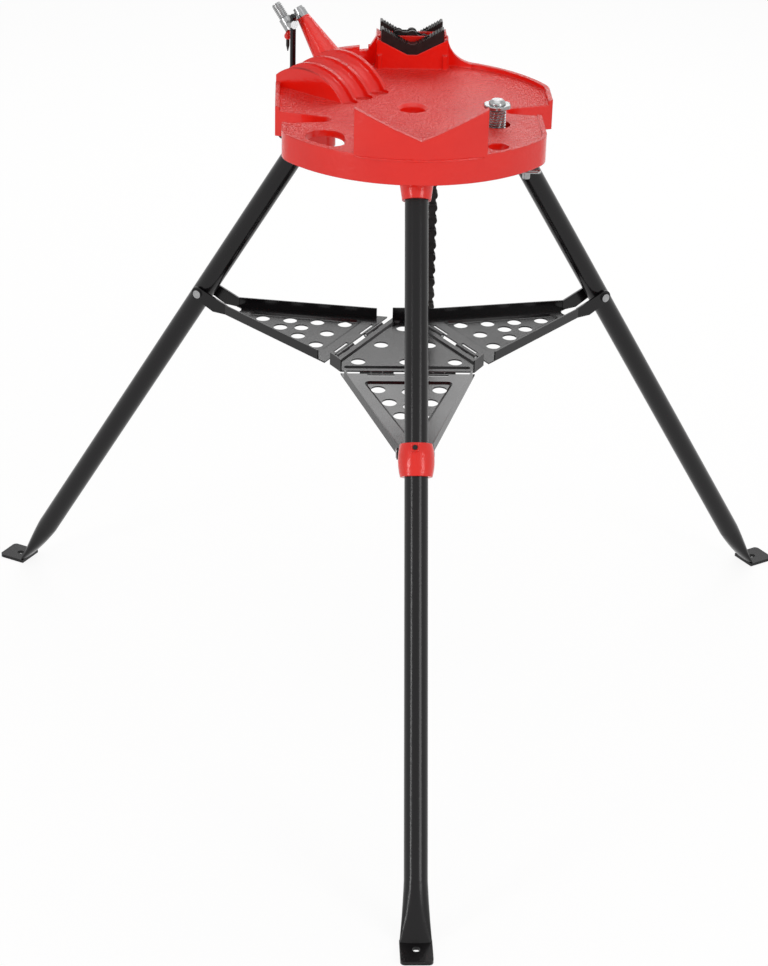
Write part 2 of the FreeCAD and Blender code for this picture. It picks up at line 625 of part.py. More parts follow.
def base_casting():
    body = rim_solid(0, -SKIRT_DEPTH, LIP_HEIGHT)
    body = body.cut(rim_solid(SKIRT_WALL, -SKIRT_DEPTH - MARGIN, -PLATE))
    body = body.cut(rim_solid(LIP_WIDTH, 0, LIP_HEIGHT + MARGIN))
    body = body.cut(front_half(FRONT_LIP, LIP_HEIGHT + MARGIN))
    outline = rim_solid(0, -SKIRT_DEPTH, 0)
    slots = [(LEFT_SLOT_TIP, LEFT_SLOT_MOUTH), (RIGHT_SLOT_TIP, RIGHT_SLOT_MOUTH)]
    additions = []
    cuts = []
    for tip, mouth in slots:
        walled = wedge(tip, mouth, SLOT_TIP_RADIUS + SLOT_WALL, SLOT_MOUTH / 2 + SLOT_WALL, -SKIRT_DEPTH, 0)
        additions.append(walled.common(outline))
        cuts.append(wedge(tip, mouth, SLOT_TIP_RADIUS, SLOT_MOUTH / 2, -SKIRT_DEPTH - MARGIN, SEAT_TOP))
    additions.append(pipe_rest())
    fins, grooves = pipe_bender()
    additions.append(fins)
    seat, seat_cuts = vise_block()
    additions.append(seat)
    cuts += seat_cuts
    additions.append(back_wall())
    additions.append(screw_arm())
    for azimuth in (LEFT, RIGHT):
        additions += [turned(cheek, azimuth) for cheek in hinge_lugs()]
    boss, bore = leg_socket()
    inside = rim_solid(0, -SKIRT_DEPTH, 0)
    below = block(V(-RIM_RADIUS, -RIM_RADIUS, 0), table(RIM_RADIUS, RIM_RADIUS, -SKIRT_DEPTH))
    boss = turned(boss, FRONT)
    additions.append(boss.common(fused([inside, below])))
    cuts.append(turned(bore, FRONT))
    cuts.append(turned(cross_hole(FRONT_BOLT_POINT), FRONT))
    additions.append(upright(BRACE_BOSS_RADIUS, BRACE_POINT, -SKIRT_DEPTH, -MARGIN))
    cuts.append(upright(BRACE_RADIUS + BOLT_PLAY, BRACE_POINT, -SKIRT_DEPTH - MARGIN, MARGIN))
    cuts.append(upright(BRACE_POCKET_RADIUS, BRACE_POINT, -BRACE_POCKET_DEPTH, MARGIN))
    hole = CENTRE_HOLE / 2
    additions.append(upright(CENTRE_BOSS_RADIUS, CENTRE, -CENTRE_BOSS_DEPTH, -MARGIN))
    cuts.append(upright(hole, CENTRE, -CENTRE_BOSS_DEPTH - MARGIN, MARGIN))
    cuts.append(taper(hole, hole + CENTRE_CHAMFER, table(0, 0, -CENTRE_CHAMFER), table(0, 0)))
    cuts.append(upright(FRONT_HOLE_RADIUS, FRONT_HOLE, -PLATE - MARGIN, MARGIN))
    cuts.append(rounded_slot(WRENCH_HOLE, WRENCH_HOLE_RADIUS, WRENCH_HOLE_END, WRENCH_HOLE_END_RADIUS,
                             -PLATE - MARGIN, LIP_HEIGHT))
    body = fused([body] + additions)
    for tool in cuts + grooves:
        body = body.cut(tool)
    return body


# ----------------------------------------------------------------- jaws, screws
def jaw(start):
    """V-shaped steel jaw with saw teeth along both sides of its V."""
    slope = math.radians(JAW_SLOPE)
    seat_slope = math.tan(math.radians(SEAT_SLOPE))
    bottom = SEAT_BOTTOM + SEAT_PLAY
    valley = SEAT_BOTTOM + JAW_DEPTH
    right = [(JAW_FLAT, valley)]
    steps = int((JAW_HALF - JAW_FLAT) / (JAW_TOOTH * math.cos(slope)))
    for step in range(steps):
        place = JAW_FLAT + (step + 1) * JAW_TOOTH * math.cos(slope)
        height = valley + (place - JAW_FLAT) * math.tan(slope)
        right.append((place, height))
        if step < steps - 1:
            right.append((place + JAW_TOOTH_DEPTH * math.sin(slope),
                          height - JAW_TOOTH_DEPTH * math.cos(slope)))
    right.append((JAW_HALF, right[-1][1]))
    right.append((JAW_HALF, bottom + (JAW_HALF - SEAT_FLAT) * seat_slope))
    right.append((SEAT_FLAT, bottom))
    left = [(-x, z) for x, z in reversed(right)]
    outline = right + left
    body = prism([table(x + VISE_OFFSET, start, z) for x, z in outline], V(0, JAW_THICK, 0))
    for screw in jaw_screw_rods(start, BOLT_PLAY):
        body = body.cut(screw)
    return body


def jaw_screw_rods(start, play):
    """Two screws per jaw, square to its sloping seat; with play, the holes that take them."""
    slope = math.radians(SEAT_SLOPE)
    screws = []
    for side in (-1, 1):
        out = V(-side * math.sin(slope), 0, math.cos(slope))
        seat = table(VISE_OFFSET + side * JAW_SCREW_PLACE, start + JAW_THICK / 2,
                     SEAT_BOTTOM + (JAW_SCREW_PLACE - SEAT_FLAT) * math.tan(slope))
        shoulder = seat + out * JAW_SCREW_RISE
        shank = rod(JAW_SCREW_RADIUS + play, seat - out * (JAW_SCREW_DEPTH + play), shoulder)
        height = JAW_DEPTH * 2 if play else JAW_SCREW_RADIUS
        head = rod(JAW_SCREW_HEAD + play, shoulder, shoulder + out * height)
        screws.append(fused([shank, head]))
    return screws


def ceiling_brace_screw():
    """Threaded post with a scalloped flange and a domed top, screwed into the table's boss."""
    top = table(BRACE_POINT.x, BRACE_POINT.y, BRACE_STICKS_OUT)
    shank = rod(BRACE_RADIUS, top - UP * (BRACE_STICKS_OUT + BRACE_BELOW), top)
    flange = rod(BRACE_FLANGE_RADIUS, top, top + UP * BRACE_FLANGE_THICK)
    for k in range(BRACE_SCALLOPS):
        angle = 2 * math.pi * k / BRACE_SCALLOPS
        side = V(math.cos(angle), math.sin(angle), 0) * (BRACE_FLANGE_RADIUS + BRACE_SCALLOP / 2)
        flange = flange.cut(rod(BRACE_SCALLOP, top + side, top + side + UP * BRACE_FLANGE_THICK))
    neck = top + UP * BRACE_FLANGE_THICK
    dome = taper(BRACE_DOME_RADIUS, BRACE_DOME_TOP, neck, neck + UP * BRACE_DOME_HEIGHT)
    return fused([shank, flange, dome])


# ------------------------------------------------------------------------ chain
def chain_points():
    """Pin centres from the free end in the vise, down through the pocket, to the hanging end."""
    points = [V(CHAIN_START, 0, CHAIN_WEB_TOP + CHAIN_PLATE_RADIUS + CHAIN_DRAPE_PLAY)]
    for angle in CHAIN_DRAPE_ANGLES:
        turn = math.radians(angle)
        points.append(points[-1] + V(math.cos(turn), 0, math.sin(turn)) * CHAIN_PITCH)
    for link in range(CHAIN_SEGMENTS * CHAIN_SEGMENT_LINKS):
        points.append(points[-1] - UP * CHAIN_PITCH)
    return [V(point.x, CHAIN_Y, TABLE_HEIGHT + point.z) for point in points]


def link_plate(first, second, start):
    """Waisted side plate between two pin centres, from a depth along Y, with a hole for each pin."""
    side = (second - first).normalize().cross(ACROSS) * CHAIN_WAIST
    near = [point + ACROSS * (start - CHAIN_Y) for point in (first, second)]
    web = prism([near[0] + side, near[1] + side, near[1] - side, near[0] - side], ACROSS * CHAIN_PLATE)
    body = fused([web] + [rod(CHAIN_PLATE_RADIUS, point, point + ACROSS * CHAIN_PLATE) for point in near])
    for point in near:
        body = body.cut(rod(CHAIN_PIN_RADIUS + CHAIN_PLAY, point, point + ACROSS * CHAIN_PLATE))
    return body


def chain_links(points, first_index):
    """Side plates of a run of links; even links are inner ones."""
    inner_face = CHAIN_INNER_GAP / 2
    solids = []
    for k in range(len(points) - 1):
        inner = (first_index + k) % 2 == 0
        near = inner_face if inner else inner_face + CHAIN_PLATE + CHAIN_PLAY
        for start in (CHAIN_Y + near, CHAIN_Y - near - CHAIN_PLATE):
            solids.append(link_plate(points[k], points[k + 1], start))
    return solids


def chain_pins(points):
    """Riveted pins with their rollers."""
    half = CHAIN_INNER_GAP / 2 + 2 * CHAIN_PLATE + 2 * CHAIN_PLAY
    pins = []
    for point in points:
        shank = rod(CHAIN_PIN_RADIUS, point - ACROSS * half, point + ACROSS * half)
        heads = [rod(CHAIN_PIN_RADIUS + CHAIN_PLAY * 2, point + ACROSS * sign * half,
                     point + ACROSS * sign * (half + CHAIN_PLATE / 2)) for sign in (-1, 1)]
        roller = rod(CHAIN_ROLLER_RADIUS, point - ACROSS * (CHAIN_INNER_GAP / 2 - CHAIN_PLAY),
                     point + ACROSS * (CHAIN_INNER_GAP / 2 - CHAIN_PLAY))
        pins.append(fused([shank, roller] + heads))
    return pins


# -------------------------------------------------------------- chain screw head
def handle_line():
    """Upper and lower end of the handle bar, which hangs straight down in the hub's front boss."""
    middle = HUB_CENTRE + HANDLE_OFFSET
    return middle + UP * HANDLE_ABOVE, middle - UP * (HANDLE_LENGTH - HANDLE_ABOVE)


def chain_screw():
    start = HUB_CENTRE - ARM_AXIS * (HUB_SIDE / 2)
    return rod(SCREW_RADIUS, start, start + ARM_AXIS * (HUB_SIDE + SCREW_LENGTH))


def hub_barrel():
    half = ARM_AXIS * (HUB_SIDE / 2)
    return rod(HUB_RADIUS, HUB_CENTRE - half, HUB_CENTRE + half)


def screw_hub():
    """Round nut for the chain screw, with a boss in front for the handle bar."""
    reach = HANDLE_OFFSET.Length + HANDLE_RADIUS + MARGIN
    boss = rod(HANDLE_BOSS_RADIUS, HUB_CENTRE, HUB_CENTRE + HANDLE_OFFSET * (reach / HANDLE_OFFSET.Length))
    high, low = handle_line()
    end = ARM_AXIS * HUB_SIDE
    inner = HUB_CENTRE - ARM_SIDE * HUB_SIDE
    holes = [rod(HANDLE_RADIUS + BOLT_PLAY, high + UP * HUB_SIDE, low),
             rod(SCREW_RADIUS + BOLT_PLAY, HUB_CENTRE - end, HUB_CENTRE + end),
             rod(TRUNNION_RADIUS + BOLT_PLAY, inner, TRUNNION_END + ARM_SIDE * BOLT_PLAY)]
    body = fused([hub_barrel(), boss])
    for hole in holes:
        body = body.cut(hole)
    return body


def hub_trunnion():
    return rod(TRUNNION_RADIUS, TRUNNION_START + ARM_SIDE * BOLT_PLAY, TRUNNION_END)


def handle_bar():
    ends = handle_line()
    return fused([rod(HANDLE_RADIUS, *ends)] + [Part.makeSphere(HANDLE_BALL, end) for end in ends])


def arm_collar():
    """Stepped collar on the end of the arm, with a pad for the hub's trunnion."""
    step = ARM_TIP + ARM_AXIS * COLLAR_NUT_LENGTH
    lower = rod(COLLAR_NUT_RADIUS, ARM_TIP, step)
    upper = rod(COLLAR_STEP_RADIUS, step, step + ARM_AXIS * COLLAR_STEP_LENGTH)
    pad = rod(TRUNNION_PAD, TRUNNION_START, HUB_CENTRE - ARM_SIDE * (HUB_RADIUS + HUB_PLAY))
    pad = pad.cut(rod(ARM_END_RADIUS + TRUNNION_PAD, ARM_TIP - ARM_AXIS * HUB_SIDE, ARM_TIP))
    return fused([lower, upper, pad]).cut(rod(TRUNNION_RADIUS + BOLT_PLAY, TRUNNION_START, HUB_CENTRE))


KNOB_CENTRE = HUB_CENTRE - UP * KNOB_DROP


def hub_knob():
    """Round knob on a short neck under the hub."""
    meeting = KNOB_NECK - math.sqrt(KNOB_RADIUS ** 2 - KNOB_NECK_RADIUS ** 2)
    foot = V(KNOB_NECK_RADIUS, 0, 0)
    throat = V(KNOB_NECK_RADIUS, 0, meeting)
    crown = V(0, 0, KNOB_NECK + KNOB_RADIUS)
    ball = Part.Arc(throat, V(KNOB_RADIUS, 0, KNOB_NECK), crown)
    lines = ((crown, CENTRE), (CENTRE, foot), (foot, throat))
    edges = [Part.LineSegment(start, end).toShape() for start, end in lines]
    profile = Part.Face(Part.Wire(edges + [ball.toShape()]))
    return aligned(profile.revolve(CENTRE, UP, 360), KNOB_CENTRE + UP * KNOB_NECK, -UP).cut(hub_barrel())


def knob_pin():
    """Pointed pin hanging from the knob."""
    middle = KNOB_CENTRE - UP * (KNOB_RADIUS + KNOB_PIN_LENGTH / 2)
    shank = rod(KNOB_PIN_RADIUS, KNOB_CENTRE, middle)
    point = taper(KNOB_PIN_RADIUS, KNOB_PIN_POINT, middle, middle - UP * KNOB_PIN_LENGTH / 2)
    return fused([shank, point]).cut(Part.makeSphere(KNOB_RADIUS, KNOB_CENTRE))


# ------------------------------------------------------------------------- legs
def section(radius_across, radius_out, centre):
    """Round or elliptical cross-section of a leg, square to its axis; the wider way is across."""
    if radius_across > radius_out:
        curve = Part.Ellipse(CENTRE, radius_across, radius_out)
    else:
        curve = Part.Circle(CENTRE, UP, radius_across)
    return aligned(Part.Wire([curve.toShape()]), centre, LEG_DOWN, ACROSS)


def leg(top):
    """Tube that flattens at its lower end and bends outward into a foot plate."""
    sole = on_leg(FOOT_THICK / 2)
    start = sole - LEG_DOWN * FLATTEN_LENGTH
    tube = rod(TUBE_RADIUS, top, start).cut(rod(TUBE_RADIUS - TUBE_WALL, top, start))
    middle = sole - LEG_DOWN * WAIST_LENGTH
    flare = Part.makeLoft([section(TUBE_RADIUS, TUBE_RADIUS, start),
                           section((TUBE_RADIUS + FOOT_WIDTH / 2) / 2, WAIST_DEPTH / 2, middle),
                           section(FOOT_WIDTH / 2, FOOT_THICK / 2, sole)], True)
    heel = FOOT_REACH - ANKLE
    plate = block(V(heel, -FOOT_WIDTH / 2, 0), V(heel + FOOT_LENGTH, FOOT_WIDTH / 2, FOOT_THICK))
    toe_edges = [edge for edge in plate.Edges
                 if edge.Length < FOOT_THICK + 0.001 and abs(edge.Vertexes[0].X - TOE) < 0.001]
    plate = plate.makeFillet(FOOT_CORNER, toe_edges)
    hole = V(heel + FOOT_HOLE_PLACE, 0, 0)
    plate = plate.cut(rod(FOOT_HOLE / 2, hole, hole + UP * FOOT_THICK))
    return fused([tube, flare, plate])


def cross_hole(point):
    return rod(BOLT_RADIUS + BOLT_PLAY, point - ACROSS * TUBE_OUTER, point + ACROSS * TUBE_OUTER)


def folding_leg():
    body = leg(HINGE_POINT - LEG_DOWN * LEG_OVERRUN)
    return body.cut(cross_hole(HINGE_POINT)).cut(cross_hole(PIVOT_POINT))


def socket_pin():
    """Cross pin that keeps the fixed leg in its socket."""
    half = SOCKET_MOUTH_RADIUS
    return rod(BOLT_RADIUS, FRONT_BOLT_POINT - ACROSS * half, FRONT_BOLT_POINT + ACROSS * half)


def fixed_leg():
    body = leg(on_leg(TABLE_HEIGHT - PLATE - TUBE_RADIUS))
    return body.cut(cross_hole(FRONT_BOLT_POINT))


def bolt(point, half_grip):
    """Hexagon-head bolt through a pair of cheeks, with its washers and nut."""
    start = point - ACROSS * (half_grip + WASHER_THICK)
    end = point + ACROSS * (half_grip + WASHER_THICK)
    shank = rod(BOLT_RADIUS, start, end + ACROSS * (BOLT_HEAD_HEIGHT + MARGIN))
    head = hexagon(BOLT_HEAD_ACROSS, start, -ACROSS, BOLT_HEAD_HEIGHT)
    nut = hexagon(BOLT_HEAD_ACROSS, end, ACROSS, BOLT_HEAD_HEIGHT)
    hole = rod(BOLT_RADIUS + BOLT_PLAY, start - ACROSS * TUBE_OUTER, end + ACROSS * TUBE_OUTER)
    washers = [rod(WASHER_RADIUS, start, start + ACROSS * WASHER_THICK).cut(hole),
               rod(WASHER_RADIUS, end - ACROSS * WASHER_THICK, end).cut(hole)]
    return fused([shank, head]), nut.cut(hole), washers


def slide_collar():
    """Barrel-shaped cast collar on the fixed leg, with a set-screw boss and a lug for the wing's pin."""
    top = COLLAR_POINT - LEG_DOWN * COLLAR_LENGTH / 2
    end = COLLAR_POINT + LEG_DOWN * COLLAR_LENGTH / 2
    rings = ((COLLAR_END_RADIUS, top), (COLLAR_RADIUS, COLLAR_POINT), (COLLAR_END_RADIUS, end))
    barrel = Part.makeLoft([section(radius, radius, place) for radius, place in rings], True)
    centre, out = set_screw_line()
    half = COLLAR_BOSS / 2
    boss = aligned(block(V(-half, -half, 0), V(half, half, COLLAR_BOSS_TOP)), centre, out, LEG_DOWN)
    side = ACROSS * COLLAR_LUG_HALF
    lug = rod(COLLAR_LUG_RADIUS, FRONT_PIN - side, FRONT_PIN + side)
    web = aligned(block(V(-COLLAR_LUG_RADIUS, -COLLAR_LUG_HALF, 0),
                        V(COLLAR_LUG_RADIUS, COLLAR_LUG_HALF, WING_PIN_BEHIND)), FRONT_PIN, LEG_OUT, LEG_DOWN)
    body = fused([barrel, boss, lug, web])
    for hole in (rod(TUBE_RADIUS + COLLAR_PLAY, top - LEG_DOWN, end + LEG_DOWN),
                 rod(SET_SCREW_RADIUS + BOLT_PLAY, centre, centre + out * TUBE_OUTER),
                 rod(WING_PIN_RADIUS + BOLT_PLAY, FRONT_PIN - side, FRONT_PIN + side)):
        body = body.cut(hole)
    return body


def collar_lug_pin():
    """Pin through the collar's lug on which the front wing turns."""
    side = ACROSS * COLLAR_LUG_HALF
    return rod(WING_PIN_RADIUS, FRONT_PIN - side, FRONT_PIN + side)


def set_screw_line():
    """Point on the collar's axis and the direction in which its set screw points out."""
    around = math.radians(SET_SCREW_TURN)
    return (COLLAR_POINT - LEG_DOWN * SET_SCREW_PLACE,
            LEG_OUT * math.cos(around) + ACROSS * math.sin(around))


def set_screw():
    centre, out = set_screw_line()
    return rod(SET_SCREW_RADIUS, centre + out * (TUBE_RADIUS + COLLAR_PLAY),
               centre + out * (COLLAR_BOSS_TOP + SET_SCREW_STANDS_OUT))


# ------------------------------------------------------------------------- tray
def tray_plane(x, y, z=0.0):
    """Point given from the top face of the tray's sheet."""
    return V(x, y, SHEET_TOP + z)


def knuckles(for_wing):
    """Hinge knuckles of one side of a hinge line drawn at +X: outer ones on the centre panel."""
    barrels = []
    for middle in (-HINGE_SPREAD, HINGE_SPREAD):
        step = KNUCKLE_LENGTH + KNUCKLE_GAP
        for place in ((0,) if for_wing else (-step, step)):
            low = V(HINGE_REACH, middle + place - KNUCKLE_LENGTH / 2, HINGE_AXIS_HEIGHT)
            high = low + ACROSS * KNUCKLE_LENGTH
            barrel = rod(KNUCKLE_RADIUS, low, high)
            reach = KNUCKLE_RADIUS + 4 * HINGE_CLEAR
            if for_wing:
                leaf = block(low - UP * SHEET / 2, high + V(reach, 0, SHEET / 2))
            else:
                leaf = block(low - V(reach, 0, SHEET / 2), high + UP * SHEET / 2)
            bore = rod(PIN_RADIUS + BOLT_PLAY, low - ACROSS, high + ACROSS)
            barrels.append(fused([barrel, leaf]).cut(bore))
    return barrels


def hinge_pins():
    pins = []
    for middle in (-HINGE_SPREAD, HINGE_SPREAD):
        half = KNUCKLE_LENGTH * 1.5 + KNUCKLE_GAP
        point = V(HINGE_REACH, middle, HINGE_AXIS_HEIGHT)
        pins.append(rod(PIN_RADIUS, point - ACROSS * half, point + ACROSS * half))
    return pins


def inset_outline(points, distance):
    """Convex level outline moved inward; it keeps the number of its corners."""
    result = []
    for k, point in enumerate(points):
        back = (points[k - 1] - point).normalize()
        ahead = (points[(k + 1) % len(points)] - point).normalize()
        half = back.getAngle(ahead) / 2
        result.append(point + (back + ahead).normalize() * (distance / math.sin(half)))
    return result


def rounded(corners, radius):
    """Convex level outline, counter-clockwise, with each corner replaced by a short-sided arc."""
    points = []
    for k, corner in enumerate(corners):
        back = (corners[k - 1] - corner).normalize()
        ahead = (corners[(k + 1) % len(corners)] - corner).normalize()
        half = back.getAngle(ahead) / 2
        middle = corner + (back + ahead).normalize() * (radius / math.sin(half))
        spoke = corner + back * (radius / math.tan(half)) - middle
        for step in range(CORNER_STEPS + 1):
            turn = (math.pi - 2 * half) * step / CORNER_STEPS
            points.append(middle + V(spoke.x * math.cos(turn) - spoke.y * math.sin(turn),
                                     spoke.x * math.sin(turn) + spoke.y * math.cos(turn), 0))
    return points


def frustum(upper, lower):
    """Solid between two outlines that have matching corners."""
    faces = [face_of(upper), face_of(lower)]
    for k in range(len(upper)):
        faces.append(face_of([upper[k - 1], upper[k], lower[k], lower[k - 1]]))
    return Part.Solid(Part.Shell(faces))


def pressing(outline, drop, slope):
    """Pressed panel of a sheet: the bulge below the sheet and the hollow in its top."""
    inner = inset_outline(outline, slope)
    hollow = frustum(outline, [point - UP * drop for point in inner])
    bulge = frustum([point - UP * SHEET for point in outline],
                    [point - UP * (SHEET + drop) for point in inner])
    return bulge, hollow


def tray_hole(x, y):
    return Part.makeCylinder(TRAY_HOLE / 2, TRAY_DROP * 2, tray_plane(x, y, -TRAY_DROP))


def wing_holes():
    """Hole places of a wing: two rows spreading from the outermost hole, and two on the middle line."""
    spread = math.radians(HOLE_SPREAD)
    places = [(HOLE_APEX, 0)] + [(reach, 0) for reach in MIDDLE_HOLES]
    for k in range(1, HOLE_ROW + 1):
        for side in (-1, 1):
            row = k * HOLE_STEP
            places.append((HOLE_APEX - row * math.cos(spread), side * row * math.sin(spread)))
    return places


def wing(pin, tip_half, fork_root, ear_radius):
    """Wing drawn flat at +X: pressed sheet with two slits, turned-up edges, an ear on each side of pin."""
    base = HINGE_REACH + KNUCKLE_RADIUS + HINGE_CLEAR
    root = pin.x - fork_root
    ear_inner = tip_half + EAR_GAP
    ear_outer = ear_inner + EAR_THICK
    outline = [tray_plane(base, -WING_HALF), tray_plane(root, -ear_outer),
               tray_plane(root, ear_outer), tray_plane(base, WING_HALF)]
    panel = rounded([tray_plane(PANEL_START, -PANEL_START_HALF), tray_plane(PANEL_END, -PANEL_END_HALF),
                     tray_plane(PANEL_END, PANEL_END_HALF), tray_plane(PANEL_START, PANEL_START_HALF)],
                    PANEL_CORNER)
    bulge, hollow = pressing(panel, PANEL_DROP, PANEL_SLOPE)
    pieces = [prism(outline, -UP * SHEET), bulge]
    slope = (WING_HALF - ear_outer) / (root - base)
    inward = V(ear_outer - WING_HALF, base - root, 0).normalize()
    for side in (1, -1):
        far = tray_plane(base + FLANGE_START, side * (WING_HALF - slope * FLANGE_START), -SHEET)
        near = tray_plane(root, side * ear_outer, -SHEET)
        thick = V(inward.x, side * inward.y, 0) * SHEET
        pieces.append(prism([far, near, near + thick, far + thick], UP * (SHEET + FLANGE)))
        profile = [tray_plane(root - EAR_THICK, side * ear_outer, -SHEET),
                   tray_plane(root + fork_root * EAR_FOOT_SHARE, side * ear_outer, -SHEET),
                   pin + ACROSS * side * ear_outer - UP * ear_radius,
                   pin + ACROSS * side * ear_outer + UP * ear_radius,
                   tray_plane(root - EAR_THICK, side * ear_outer, FLANGE)]
        pieces.append(prism(profile, ACROSS * -side * EAR_THICK))
        pieces.append(rod(ear_radius, pin + ACROSS * side * ear_inner, pin + ACROSS * side * ear_outer))
    body = fused(pieces + knuckles(True)).cut(hollow)
    for x, y in wing_holes():
        body = body.cut(tray_hole(x, y))
    for first, last in ((WING_SLIT_START, WING_SLIT_END), (-WING_SLIT_END, -WING_SLIT_START)):
        body = body.cut(block(tray_plane(base + WING_SLIT_EDGE, first, -SHEET - MARGIN),
                              tray_plane(base + WING_SLIT_EDGE + WING_SLIT_WIDTH, last, MARGIN)))
    reach = ACROSS * ear_outer * 2
    return body.cut(rod(RIVET_RADIUS / 2, pin - reach, pin + reach))


def folding_wing():
    """Wing of a folding leg, with a round relief between its ears."""
    body = wing(PIVOT_POINT, TUBE_RADIUS, FORK_ROOT, EAR_RADIUS)
    low = tray_plane(TRAY_PIVOT_REACH - FORK_ROOT + MARGIN, 0, -TRAY_DROP)
    return body.cut(rod(FORK_RELIEF, low, low + UP * TRAY_DROP * 2))


def wing_rivets(pin, tip_half, head_height):
    """Rivet stubs in the two ears of a wing, with round heads outside."""
    rivets = []
    ear_inner = tip_half + EAR_GAP
    for side in (1, -1):
        inner = pin + ACROSS * side * ear_inner
        outer = pin + ACROSS * side * (ear_inner + EAR_THICK)
        stub = rod(RIVET_RADIUS / 2 - BOLT_PLAY, inner, outer)
        rivets.append(fused([stub, rod(RIVET_RADIUS, outer, outer + ACROSS * side * head_height)]))
    return rivets


def sloped(shape):
    """Copy of a piece of the front wing, turned down about its hinge line."""
    result = shape.copy()
    result.rotate(V(HINGE_REACH, 0, HINGE_AXIS_HEIGHT), ACROSS, FRONT_WING_SLOPE)
    return result


def tray_centre():
    """Centre panel: a triangle with turned-up cut corners, a groove beside each hinge, six holes."""
    edge = HINGE_REACH - KNUCKLE_RADIUS - HINGE_CLEAR
    outline = []
    pieces = []
    hollows = []
    for azimuth in (FRONT, RIGHT, LEFT):
        turn = math.radians(azimuth)
        out = V(math.cos(turn), math.sin(turn), 0)
        side = V(-out.y, out.x, 0)
        middle = tray_plane(0, 0) + out * edge
        outline += [middle - side * CENTRE_HALF, middle + side * CENTRE_HALF]
        line = tray_plane(0, 0) + out * CENTRE_GROOVE_REACH
        wide = out * (CENTRE_GROOVE_WIDTH / 2)
        long = side * CENTRE_GROOVE_HALF
        groove = rounded([line - wide - long, line + wide - long, line + wide + long, line - wide + long],
                         CENTRE_GROOVE_WIDTH / 2 - SLIT)
        bulge, hollow = pressing(groove, CENTRE_GROOVE_DROP, CENTRE_GROOVE_SLOPE)
        pieces += [bulge] + [turned(piece, azimuth) for piece in knuckles(False)]
        hollows.append(hollow)
        for reach, angle in ((CENTRE_HOLE_REACH, turn), (CENTRE_CORNER_REACH, turn + math.pi)):
            hollows.append(tray_hole(reach * math.cos(angle), reach * math.sin(angle)))
    for k in range(1, len(outline), 2):
        first = outline[k] - UP * SHEET
        second = outline[(k + 1) % len(outline)] - UP * SHEET
        inward = V(-first.x - second.x, -first.y - second.y, 0).normalize() * SHEET
        pieces.append(prism([first, second, second + inward, first + inward], UP * (SHEET + CORNER_FLANGE)))
    body = fused([prism(outline, -UP * SHEET)] + pieces)
    for hollow in hollows:
        body = body.cut(hollow)
    return body


# ------------------------------------------------------------ pieces under the rim
def latch_tab():
    """Steel tab fixed to the inside of the left skirt, hanging below it."""
    centre = LATCH_POINT + table(0, 0, 0)
    tab = rod(LATCH_RADIUS, centre, centre + ACROSS * LATCH_THICK)
    wall = SKIRT_WALL + LEFT_CUT - RIM_RADIUS
    strip = block(V(wall, centre.y, centre.z),
                  V(centre.x + LATCH_RADIUS, centre.y + LATCH_THICK, centre.z + LATCH_RISE))
    hole = rod(PIN_RADIUS + BOLT_PLAY, centre - ACROSS * TUBE_OUTER, centre + ACROSS * TUBE_OUTER)
    return fused([tab, strip]).cut(hole)


def latch_rivet():
    centre = LATCH_POINT + table(0, 0, 0)
    shank = rod(PIN_RADIUS, centre, centre + ACROSS * LATCH_THICK)
    heads = [rod(2 * PIN_RADIUS, centre - ACROSS * PIN_RADIUS, centre),
             rod(2 * PIN_RADIUS, centre + ACROSS * LATCH_THICK, centre + ACROSS * (LATCH_THICK + PIN_RADIUS))]
    return fused([shank] + heads)


def clip_pin():
    """Short steel pin hanging from a boss under the table, cross-drilled for the clip."""
    top = table(CLIP_POINT.x, CLIP_POINT.y, -PLATE)
    low = CLIP_POINT + table(0, 0, 0)
    body = rod(CLIP_PIN_RADIUS, top, low - UP * CLIP_PIN_RADIUS * 2)
    return body.cut(rod(CLIP_WIRE + BOLT_PLAY, low - V(TUBE_OUTER, 0, 0), low + V(TUBE_OUTER, 0, 0)))


def hairpin_clip():
    """Spring-wire clip: one straight leg through the pin, a loop, and a leg beside the pin."""
    low = CLIP_POINT + table(0, 0, 0)
    start = low - V(CLIP_LENGTH / 3, 0, 0)
    bend = low + V(CLIP_LENGTH / 2, 0, 0)
    side = V(0, -(CLIP_PIN_RADIUS + CLIP_WIRE + MARGIN), 0)
    straight = rod(CLIP_WIRE, start, bend)
    ring_centre = bend + side / 2
    ring = Part.makeTorus(side.Length / 2, CLIP_WIRE, ring_centre, UP)
    ring = ring.common(block(ring_centre - V(0, CLIP_LENGTH, CLIP_LENGTH),
                             ring_centre + V(CLIP_LENGTH, CLIP_LENGTH, CLIP_LENGTH)))
    back = rod(CLIP_WIRE, start + side, bend + side)
    return fused([straight, ring, back])


